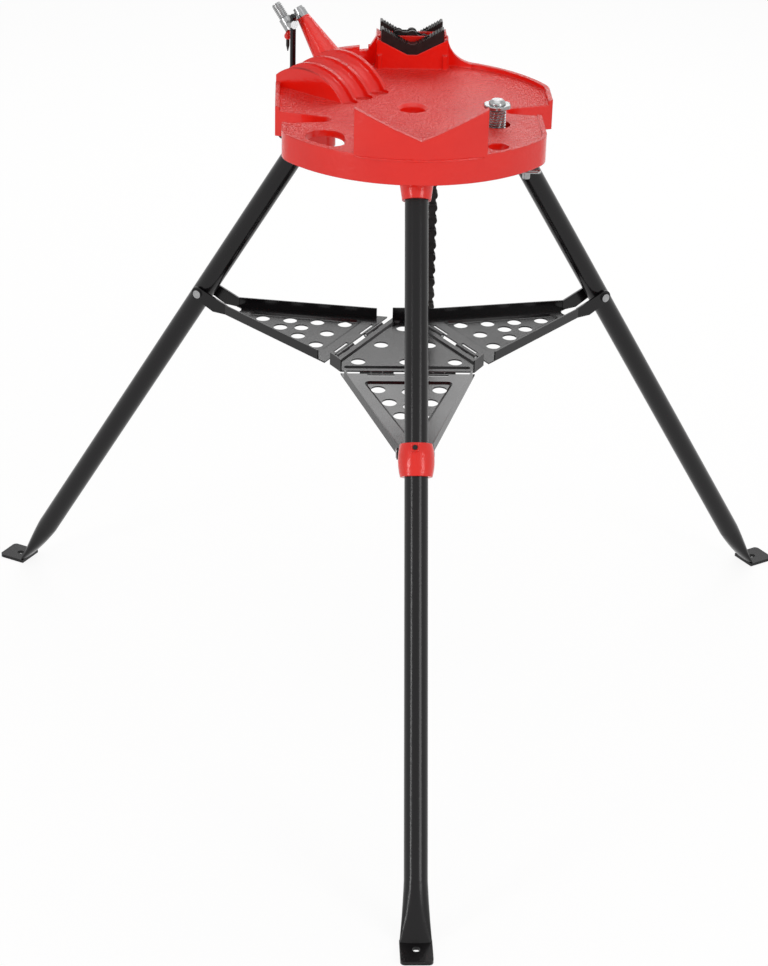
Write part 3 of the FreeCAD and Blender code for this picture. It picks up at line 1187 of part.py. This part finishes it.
# ----------------------------------------------------------------------- nodes
def build():
    """Every node of the stand, by name."""
    nodes = {}
    casting = base_casting()
    rear = SEAT_FRONT + SEAT_DEPTH - JAW_THICK
    for start in (SEAT_FRONT, rear):
        for screw in jaw_screw_rods(start, BOLT_PLAY):
            casting = casting.cut(screw)
    nodes["base_casting"] = [casting]
    nodes["front_jaw"] = [jaw(SEAT_FRONT)]
    nodes["rear_jaw"] = [jaw(rear)]
    nodes["jaw_screws"] = jaw_screw_rods(SEAT_FRONT, 0) + jaw_screw_rods(rear, 0)
    nodes["ceiling_brace_screw"] = [ceiling_brace_screw()]

    nodes["chain_screw"] = [chain_screw()]
    nodes["screw_hub"] = [screw_hub()]
    nodes["handle_bar"] = [handle_bar()]
    nodes["arm_collar"] = [arm_collar()]
    nodes["hub_trunnion"] = [hub_trunnion()]
    nodes["hub_knob"] = [hub_knob()]
    nodes["knob_pin"] = [knob_pin()]

    points = chain_points()
    fixed = len(points) - CHAIN_SEGMENTS * CHAIN_SEGMENT_LINKS
    nodes["chain_end_links"] = chain_links(points[:fixed], 0)
    nodes["chain_end_pins"] = chain_pins(points[:fixed])
    for segment in range(CHAIN_SEGMENTS):
        first = fixed - 1 + segment * CHAIN_SEGMENT_LINKS
        run = points[first:first + CHAIN_SEGMENT_LINKS + 1]
        nodes["chain_links_%d" % (segment + 1)] = chain_links(run, first)
        nodes["chain_pins_%d" % (segment + 1)] = chain_pins(run[1:])

    nodes["front_leg"] = [turned(fixed_leg(), FRONT)]
    nodes["socket_pin"] = [turned(socket_pin(), FRONT)]
    for side, azimuth in (("left", LEFT), ("right", RIGHT)):
        nodes[side + "_leg"] = [turned(folding_leg(), azimuth)]
        shank = rod(BOLT_RADIUS, PIVOT_POINT - ACROSS * TUBE_RADIUS, PIVOT_POINT + ACROSS * TUBE_RADIUS)
        nodes[side + "_tray_bolt"] = [turned(shank, azimuth)]
    grip = TUBE_RADIUS + SLIT + LUG_THICK
    bolts = {"hinge_bolts": [], "hinge_nuts": [], "hinge_washers": []}
    for azimuth in (LEFT, RIGHT):
        shank, nut, washers = bolt(HINGE_POINT, grip)
        bolts["hinge_bolts"].append(turned(shank, azimuth))
        bolts["hinge_nuts"].append(turned(nut, azimuth))
        bolts["hinge_washers"] += [turned(washer, azimuth) for washer in washers]
    nodes.update(bolts)

    nodes["slide_collar"] = [turned(slide_collar(), FRONT)]
    nodes["collar_set_screw"] = [turned(set_screw(), FRONT)]
    nodes["collar_lug_pin"] = [turned(collar_lug_pin(), FRONT)]
    nodes["tray_centre"] = [tray_centre()]
    azimuths = (FRONT, RIGHT, LEFT)
    nodes["tray_hinge_pins"] = [turned(pin, azimuth) for azimuth in azimuths for pin in hinge_pins()]
    for side, azimuth in (("left", LEFT), ("right", RIGHT)):
        nodes["tray_wing_" + side] = [turned(folding_wing(), azimuth)]
        rivets = wing_rivets(PIVOT_POINT, TUBE_RADIUS, RIVET_HEAD)
        nodes["wing_rivets_" + side] = [turned(rivet, azimuth) for rivet in rivets]
    front_wing = wing(FRONT_PIN_FLAT, COLLAR_LUG_HALF, FRONT_FORK_ROOT, FRONT_EAR_RADIUS)
    nodes["tray_wing_front"] = [turned(sloped(front_wing), FRONT)]
    rivets = wing_rivets(FRONT_PIN_FLAT, COLLAR_LUG_HALF, FRONT_RIVET_HEAD)
    nodes["wing_rivets_front"] = [turned(sloped(rivet), FRONT) for rivet in rivets]

    nodes["latch_tab"] = [latch_tab()]
    nodes["latch_rivet"] = [latch_rivet()]
    nodes["clip_pin"] = [clip_pin()]
    nodes["hairpin_clip"] = [hairpin_clip()]
    return nodes


if __name__ == "__main__":
    os.makedirs("parts", exist_ok=True)
    for name, shapes in build().items():
        save(name, shapes)
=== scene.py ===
"""Looks of a tripod pipe vise stand: enamelled castings, black legs and tray, zinc fasteners and
blackened jaws."""

import math

import bpy
import numpy as np
from mathutils import Matrix, Vector


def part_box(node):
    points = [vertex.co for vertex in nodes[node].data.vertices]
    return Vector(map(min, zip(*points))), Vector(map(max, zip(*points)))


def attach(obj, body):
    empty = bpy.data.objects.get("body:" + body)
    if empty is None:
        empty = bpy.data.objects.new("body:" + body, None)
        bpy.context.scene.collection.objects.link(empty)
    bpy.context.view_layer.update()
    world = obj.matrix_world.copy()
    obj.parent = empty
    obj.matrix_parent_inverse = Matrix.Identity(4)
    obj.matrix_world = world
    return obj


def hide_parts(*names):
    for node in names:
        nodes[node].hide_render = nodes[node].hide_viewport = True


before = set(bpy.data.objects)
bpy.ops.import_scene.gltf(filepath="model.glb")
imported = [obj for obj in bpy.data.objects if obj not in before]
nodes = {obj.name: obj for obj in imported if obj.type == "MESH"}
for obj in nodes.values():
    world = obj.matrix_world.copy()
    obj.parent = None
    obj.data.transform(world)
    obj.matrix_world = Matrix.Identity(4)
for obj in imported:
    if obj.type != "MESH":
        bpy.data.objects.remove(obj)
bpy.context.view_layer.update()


# --------------------------------------------------------------------------------------------------------
# Studio: a wide pale floor under a bright, even room. A long softbox stands at the left, a broad weak one
# at the right and a big one hangs behind the stand, so that gloss paint shows a thin bright line, a broad
# dim one and a glare.
# --------------------------------------------------------------------------------------------------------
FLOOR_HALF = 9.0
FLOOR_SHOWN_EVEN = 0.85      # share of the floor's look that is plain white, the rest keeps the soft shadow
FLOOR_WHITE = 1.05           # strength of that white, just over 1 to make up for the share in shadow
ROOM_LIGHT = 0.34
LENS_MM = 91.66
FRAME_HEIGHT_MM = 36.0
SEES_AS_FAR_AS = 100
EYE = Vector((-0.1616, -2.9375, 1.8904))
LOOKS_DOWN, TURNED, TILTED = math.radians(27.04), math.radians(2.52), math.radians(1.49)


def linear(colour):
    """An sRGB hex colour as linear red, green, blue and 1: a straight part near black, and a 2.4 power
    above it."""
    values = [int(colour[i : i + 2], 16) / 255 for i in (1, 3, 5)]
    return [v / 12.92 if v <= 0.04045 else ((v + 0.055) / 1.055) ** 2.4 for v in values] + [1.0]


def add(tree, kind, settings=None, **inputs):
    """Adds one node. settings are its own properties, and inputs are its sockets, by name with _ for a
    space or by s and a number. A socket gets a value, or the link that a socket of another node gives."""
    node = tree.nodes.new(kind)
    for name, value in (settings or {}).items():
        setattr(node, name, value)
    for name, value in inputs.items():
        key = int(name[1:]) if name[0] == "s" and name[1:].isdigit() else name.replace("_", " ")
        if isinstance(value, bpy.types.NodeSocket):
            tree.links.new(value, node.inputs[key])
        else:
            node.inputs[key].default_value = value
    return node


def surface(name, shader_kind="ShaderNodeBsdfPrincipled", **inputs):
    """A new material with one shader on its output; gives the material, its tree and the shader."""
    material = bpy.data.materials.new(name)
    material.use_nodes = True
    tree = material.node_tree
    tree.nodes.clear()
    shader = add(tree, shader_kind, **inputs)
    add(tree, "ShaderNodeOutputMaterial", Surface=shader.outputs[0])
    return material, tree, shader


camera = bpy.data.objects.new("camera", bpy.data.cameras.new("camera"))
camera.data.lens = LENS_MM
camera.data.sensor_fit = "VERTICAL"
camera.data.sensor_height = FRAME_HEIGHT_MM
camera.data.clip_end = SEES_AS_FAR_AS
aim = Matrix.Rotation(-TURNED, 4, "Z") @ Matrix.Rotation(math.pi / 2 - LOOKS_DOWN, 4, "X")
camera.matrix_world = Matrix.Translation(EYE) @ aim @ Matrix.Rotation(TILTED, 4, "Z")
bpy.context.scene.collection.objects.link(camera)
bpy.context.scene.camera = camera


def softbox(name, place, aim, wide, high, power):
    """An area lamp of wide × high metres at a place, turned to an aim."""
    lamp = bpy.data.lights.new(name, "AREA")
    lamp.shape, lamp.size, lamp.size_y, lamp.energy = "RECTANGLE", wide, high, power
    box = bpy.data.objects.new(name, lamp)
    box.rotation_euler = (Vector(aim) - Vector(place)).to_track_quat("-Z", "Y").to_euler()
    box.location = place
    bpy.context.scene.collection.objects.link(box)


bpy.context.scene.view_settings.view_transform = "Standard"
softbox("left_strip", (-3.0, -2.4, 1.3), (0, 0, 0.6), 0.35, 2.4, 34)
softbox("right_broad", (2.6, -3.0, 1.9), (0, 0, 0.6), 1.4, 2.2, 40)
softbox("back_high", (0.5, 3.2, 2.9), (0, 0.1, 0.8), 3.0, 1.6, 50)
softbox("overhead", (0, -0.3, 3.4), (0, 0, 0.5), 2.4, 2.4, 16)

world = bpy.data.worlds.new("room")
bpy.context.scene.world = world
world.use_nodes = True
tree = world.node_tree
tree.nodes.clear()
path = add(tree, "ShaderNodeLightPath").outputs
glossy = add(tree, "ShaderNodeMath", {"operation": "MAXIMUM"}, s0=path["Is Glossy Ray"],
             s1=path["Is Transmission Ray"])
seen = add(tree, "ShaderNodeMath", {"operation": "MAXIMUM"}, s0=path["Is Camera Ray"], s1=glossy.outputs[0])
strength = add(tree, "ShaderNodeMix", {"data_type": "FLOAT"}, s0=seen.outputs[0], s2=ROOM_LIGHT, s3=1.0)
white = add(tree, "ShaderNodeBackground", Color=linear("#FFFFFF"), Strength=strength.outputs[0])
add(tree, "ShaderNodeOutputWorld", Surface=white.outputs[0])

floor_mesh = bpy.data.meshes.new("floor")
corners = [(x * FLOOR_HALF, y * FLOOR_HALF, 0) for x, y in ((-1, -1), (1, -1), (1, 1), (-1, 1))]
floor_mesh.from_pydata(corners, [], [(0, 1, 2, 3)])
floor = bpy.data.objects.new("floor", floor_mesh)
bpy.context.scene.collection.objects.link(floor)
paper, tree, dull = surface("white paper floor", "ShaderNodeBsdfDiffuse", Color=linear("#F4F3F2"))
path = add(tree, "ShaderNodeLightPath").outputs
seen = add(tree, "ShaderNodeMath", {"operation": "MAXIMUM"}, s0=path["Is Camera Ray"],
           s1=path["Is Glossy Ray"])
share = add(tree, "ShaderNodeMath", {"operation": "MULTIPLY"}, s0=seen.outputs[0], s1=FLOOR_SHOWN_EVEN)
even = add(tree, "ShaderNodeEmission", Color=linear("#FFFFFF"), Strength=FLOOR_WHITE)
mixed = add(tree, "ShaderNodeMixShader", s0=share.outputs[0], s1=dull.outputs[0], s2=even.outputs[0])
tree.links.new(mixed.outputs[0], tree.nodes["Material Output"].inputs["Surface"])
floor_mesh.materials.append(paper)


def dress(material, *names):
    """Gives CAD nodes one material in every slot."""
    for name in names:
        mesh = nodes[name].data
        if not mesh.materials:
            mesh.materials.append(material)
        for i in range(len(mesh.materials)):
            mesh.materials[i] = material


def spot(tree, millimetres, **inputs):
    """A noise texture on Object coordinates whose grains are about so many millimetres wide."""
    place = add(tree, "ShaderNodeTexCoord").outputs["Object"]
    return add(tree, "ShaderNodeTexNoise", Vector=place, Scale=1000 / millimetres, **inputs)


# --------------------------------------------------------------------------------------------------------
# Castings: table, slide collar and knob are grey iron from a sand mould, under one thick coat of red
# stoving enamel. The top keeps the sand's grain under the paint; the walls came out smoother, and both
# are glossy.
# --------------------------------------------------------------------------------------------------------
CAST_GRAIN_MM = 4.5          # coarser than real sand grain, so that it shows
GRAIN_DEEP, GRAIN_ON_WALLS = 0.0048, 0.08
UPWARD_FROM, UPWARD_FULL = 0.75, 0.97     # normal's upward part where the top's grain starts and is whole
RIPPLE_MM = 9.0
RIPPLE_DEEP, RIPPLE_STRENGTH = 0.002, 0.15
EDGE_ROUND_MM = 2.2
SHADE_MM = 60.0              # patches where the enamel lies thicker or thinner

enamel, tree, shader = surface("red stoving enamel on cast iron", Roughness=0.2)
normal = add(tree, "ShaderNodeTexCoord").outputs["Normal"]
upward = add(tree, "ShaderNodeSeparateXYZ", Vector=normal).outputs["Z"]
top = add(tree, "ShaderNodeMapRange", Value=upward, s1=UPWARD_FROM, s2=UPWARD_FULL, s3=GRAIN_ON_WALLS, s4=1.0)
grain = spot(tree, CAST_GRAIN_MM, Detail=3.0, Roughness=0.6).outputs[0]
ripple = spot(tree, RIPPLE_MM, Detail=1.0).outputs[0]
edges = add(tree, "ShaderNodeBevel", {"samples": 6}, Radius=EDGE_ROUND_MM / 1000)
rough_skin = add(tree, "ShaderNodeBump", Strength=top.outputs[0], Distance=GRAIN_DEEP, Height=grain,
                 Normal=edges.outputs[0])
skin = add(tree, "ShaderNodeBump", Strength=RIPPLE_STRENGTH, Distance=RIPPLE_DEEP, Height=ripple,
           Normal=rough_skin.outputs[0])
tree.links.new(skin.outputs[0], shader.inputs["Normal"])
shade = add(tree, "ShaderNodeMix", {"data_type": "RGBA"}, s0=spot(tree, SHADE_MM, Detail=2.0).outputs[0],
            s6=linear("#EE1A0E"), s7=linear("#FB2616"))
tree.links.new(shade.outputs[2], shader.inputs["Base Color"])
dress(enamel, "base_casting", "slide_collar", "hub_knob")


# --------------------------------------------------------------------------------------------------------
# Legs and tray: drawn steel tube and pressed sheet under gloss black powder coat, which flows out to a
# faint orange peel.
# --------------------------------------------------------------------------------------------------------
PEEL_MM = 2.2
PEEL_DEEP, PEEL_STRENGTH = 0.0005, 0.12
HANDLED_MM = 45.0            # patches dulled by hands and dust

black_coat, tree, shader = surface("gloss black powder coat", Base_Color=linear("#0E0C0E"),
                                   Specular_IOR_Level=0.3)
peel = spot(tree, PEEL_MM, Detail=1.5).outputs[0]
bump = add(tree, "ShaderNodeBump", Strength=PEEL_STRENGTH, Distance=PEEL_DEEP, Height=peel)
tree.links.new(bump.outputs[0], shader.inputs["Normal"])
handled = spot(tree, HANDLED_MM, Detail=3.0).outputs[0]
gloss = add(tree, "ShaderNodeMapRange", Value=handled, s3=0.14, s4=0.26)
tree.links.new(gloss.outputs[0], shader.inputs["Roughness"])
dress(black_coat, "front_leg", "left_leg", "right_leg", "tray_centre", "tray_wing_left", "tray_wing_right",
      "tray_wing_front", "handle_bar", "latch_tab")


# --------------------------------------------------------------------------------------------------------
# Fasteners: turned and headed steel, bright zinc plated, with the stepped collar and the nut at the arm's
# end. The plate is cloudy in patches of a few millimetres, paler where it is dull and darker where it is
# smooth.
# --------------------------------------------------------------------------------------------------------


def clouded(name, metallic, cloud_mm, smooth, dull, dark, light):
    """A metal whose roughness and colour both follow one cloudy pattern, between two values each."""
    material, tree, shader = surface(name, Metallic=metallic)
    cloud = spot(tree, cloud_mm, Detail=4.0).outputs[0]
    rough = add(tree, "ShaderNodeMapRange", Value=cloud, s3=smooth, s4=dull)
    tint = add(tree, "ShaderNodeMix", {"data_type": "RGBA"}, s0=cloud, s6=linear(dark), s7=linear(light))
    tree.links.new(rough.outputs[0], shader.inputs["Roughness"])
    tree.links.new(tint.outputs[2], shader.inputs["Base Color"])
    return material


zinc = clouded("bright zinc plate on steel", 1.0, 4, 0.14, 0.3, "#85868A", "#B4B4B2")
dress(zinc, "ceiling_brace_screw", "chain_screw", "screw_hub", "hub_trunnion", "arm_collar", "collar_lug_pin",
      "hinge_bolts", "hinge_nuts", "hinge_washers", "left_tray_bolt", "right_tray_bolt", "tray_hinge_pins",
      "wing_rivets_left", "wing_rivets_right", "wing_rivets_front", "latch_rivet", "clip_pin", "hairpin_clip")


# --------------------------------------------------------------------------------------------------------
# Jaws and chain: hardened tool steel, blackened in hot oxide salts. The black is thin and dull, with some
# of the steel's brown and shine behind it.
# --------------------------------------------------------------------------------------------------------
oxide = clouded("black oxide on hardened steel", 0.5, 6, 0.32, 0.55, "#141314", "#2A2625")
CHAIN_RUNS = range(1, 7)
dress(oxide, "front_jaw", "rear_jaw", "jaw_screws", "knob_pin", "chain_end_links", "chain_end_pins",
      "collar_set_screw", "socket_pin",
      *(f"chain_{part}_{i}" for part in ("links", "pins") for i in CHAIN_RUNS))


# --------------------------------------------------------------------------------------------------------
# Screw threads: the brace screw that jacks against a ceiling and the chain screw in its nut carry coarse
# rolled threads, zinc plated like the rest, with blunt crests.
# --------------------------------------------------------------------------------------------------------
MM = 0.001
THREAD_SIDES = 144           # points round the screw
THREAD_ROWS = 12             # points along one pitch
FLANK_STEEP, FLANK_PEAK = 5, 1.75         # the trapezoid's slope, and its peak before it is cut off at 1


def grid_piece(name, points, material):
    """A mesh from points[row, column], where the last column joins the first. Its faces look outward if
    the columns turn to the left about the direction of the rows."""
    rows, sides = points.shape[:2]
    row, column = np.meshgrid(np.arange(rows - 1), np.arange(sides), indexing="ij")
    here, beside = row * sides + column, row * sides + (column + 1) % sides
    faces = np.stack([here, beside, beside + sides, here + sides], axis=-1).reshape(-1, 4)
    mesh = bpy.data.meshes.new(name)
    mesh.from_pydata(points.reshape(-1, 3).tolist(), [], faces.tolist())
    mesh.materials.append(material)
    piece = bpy.data.objects.new(name, mesh)
    bpy.context.scene.collection.objects.link(piece)
    return piece


def thread_radii(t, length, crest, root, pitch):
    """Radii of a helical thread, one row for each height t and one column for each turn from 0 to 1:
    root + (crest - root) * ridge(t / pitch - turn), where ridge is a trapezoid of period 1.
    It fades over half a pitch at both ends."""
    turn = np.linspace(0, 1, THREAD_SIDES, endpoint=False)
    phase = (t[:, None] / pitch - turn[None, :]) % 1
    ridge = np.clip(FLANK_PEAK - np.abs(phase - 0.5) * FLANK_STEEP, 0, 1)
    fade = np.clip(np.minimum(t, length - t) / (pitch / 2), 0, 1)[:, None]
    return root + (crest - root) * ridge * fade


def turned(name, foot, axis, heights, radii):
    """A closed body round an axis, in metres:
    point = foot + h * axis + radius(h, u) * (cos u * side + sin u * third),
    with one row of radii for each height h. The first and last rows close on the axis."""
    along = Vector(axis).normalized()
    side = along.orthogonal().normalized()
    third = along.cross(side)
    turn = np.linspace(0, 2 * math.pi, THREAD_SIDES, endpoint=False)
    closed = np.zeros((1, THREAD_SIDES))
    radii = np.vstack([closed, radii, closed])
    heights = np.concatenate([heights[:1], heights, heights[-1:]])
    ring = np.cos(turn)[:, None] * np.array(side) + np.sin(turn)[:, None] * np.array(third)
    points = np.array(foot) + heights[:, None, None] * np.array(along) + radii[:, :, None] * ring[None]
    return grid_piece(name, points, zinc)


low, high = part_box("ceiling_brace_screw")
BRACE_PITCH, BRACE_CREST, BRACE_ROOT = 3.5 * MM, 12 * MM, 10.7 * MM
FLANGE_RADIUS, FLANGE_THICK, FLANGE_ROUND = 17.5 * MM, 5 * MM, 0.8 * MM
SCALLOPS, SCALLOP_RADIUS, SCALLOP_MIDDLE = 8, 3 * MM, 19 * MM     # hollows round the flange, for the fingers
DOME_FOOT, DOME_TOP, DOME_HIGH = 11 * MM, 6.8 * MM, 6 * MM
DOME_ROWS, DOME_POWER = 9, 2.5            # the dome narrows slowly at first, then fast
shank_long = high.z - low.z - FLANGE_THICK - DOME_HIGH
shank = np.linspace(0, shank_long, int(THREAD_ROWS * shank_long / BRACE_PITCH))
turn = np.linspace(0, 2 * math.pi, THREAD_SIDES, endpoint=False)
off = (turn + math.pi / SCALLOPS) % (2 * math.pi / SCALLOPS) - math.pi / SCALLOPS
reach = SCALLOP_RADIUS ** 2 - (SCALLOP_MIDDLE * np.sin(off)) ** 2
edge = np.where(reach > 0, SCALLOP_MIDDLE * np.cos(off) - np.sqrt(np.maximum(reach, 0)), FLANGE_RADIUS)
edge = np.minimum(edge, FLANGE_RADIUS)
flange_rows = [(0, edge - FLANGE_ROUND), (FLANGE_ROUND, edge), (FLANGE_THICK - FLANGE_ROUND, edge),
               (FLANGE_THICK, edge - FLANGE_ROUND)]
lift = np.linspace(0, 1, DOME_ROWS)
narrowing = DOME_FOOT + (DOME_TOP - DOME_FOOT) * lift ** DOME_POWER
dome_rows = [(FLANGE_THICK + DOME_HIGH * k, np.full(THREAD_SIDES, radius))
             for k, radius in zip(lift, narrowing)]
upper = flange_rows + dome_rows
heights = np.concatenate([shank, [shank_long + h for h, _ in upper]])
radii = np.vstack([thread_radii(shank, shank_long, BRACE_CREST, BRACE_ROOT, BRACE_PITCH),
                   [r for _, r in upper]])
foot = ((low.x + high.x) / 2, (low.y + high.y) / 2, low.z)
brace_screw = turned("brace_screw_threaded", foot, (0, 0, 1), heights, radii)
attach(brace_screw, "ceiling_brace_screw")
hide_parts("ceiling_brace_screw")

STUD_AXIS = Vector((-0.5301, 0.4060, 0.7444))
STUD_PITCH, STUD_CREST, STUD_ROOT, STUD_LONG = 2.6 * MM, 6.9 * MM, 6.05 * MM, 21.5 * MM
NUT_FACE = 2.5 * MM          # from the stud's middle back to just outside the nut
low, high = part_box("chain_screw")
stud = np.linspace(0, STUD_LONG, int(THREAD_ROWS * STUD_LONG / STUD_PITCH))
stud_thread = turned("chain_screw_thread", (low + high) / 2 - STUD_AXIS * NUT_FACE, STUD_AXIS, stud,
                     thread_radii(stud, STUD_LONG, STUD_CREST, STUD_ROOT, STUD_PITCH))
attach(stud_thread, "chain_screw")


# --------------------------------------------------------------------------------------------------------
# Rim bead: a narrow rounded ledge along the front of the skirt, at the foot of the pipe rest and level
# with the table top. It has the same enamel as the casting.
# --------------------------------------------------------------------------------------------------------
BEAD_RADIUS = 1.7 * MM
BEAD_SIDES = 12              # points round the bead
BEAD_STEPS = 97              # points along it
RIM_ARC_RADIUS = 203 * MM
BEAD_HALF_ARC = 0.42         # half the arc below the rest, seen from the middle of the table
BEAD_END_POWER = 8           # the bead keeps its thickness nearly to its ends
TABLE_TOP = 859 * MM


def arc_bead(name, middle, arc_radius, half_arc, radius):
    """A bead swept round the front of an arc:
    point = middle + (arc_radius + r cos u) (sin a, -cos a, 0) + (0, 0, r sin u),
    where a runs over the arc and r = radius * sqrt(1 - (a / half_arc)^power) closes both ends."""
    a = np.linspace(-half_arc, half_arc, BEAD_STEPS)
    u = np.linspace(0, 2 * math.pi, BEAD_SIDES, endpoint=False)
    r = radius * np.sqrt(1 - (a / half_arc) ** BEAD_END_POWER)[:, None]
    out = arc_radius + r * np.cos(u)[None, :]
    points = np.stack([middle[0] + out * np.sin(a)[:, None], middle[1] - out * np.cos(a)[:, None],
                       middle[2] + r * np.sin(u)[None, :]], axis=-1)
    piece = grid_piece(name, points[:, ::-1], enamel)
    piece.data.polygons.foreach_set("use_smooth", np.ones(len(piece.data.polygons), dtype=bool))
    return piece


low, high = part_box("base_casting")
bead_middle = (0, low.y + RIM_ARC_RADIUS, TABLE_TOP - BEAD_RADIUS)
rim_bead = arc_bead("rim_bead", bead_middle, RIM_ARC_RADIUS, BEAD_HALF_ARC, BEAD_RADIUS)
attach(rim_bead, "table_and_front_leg")
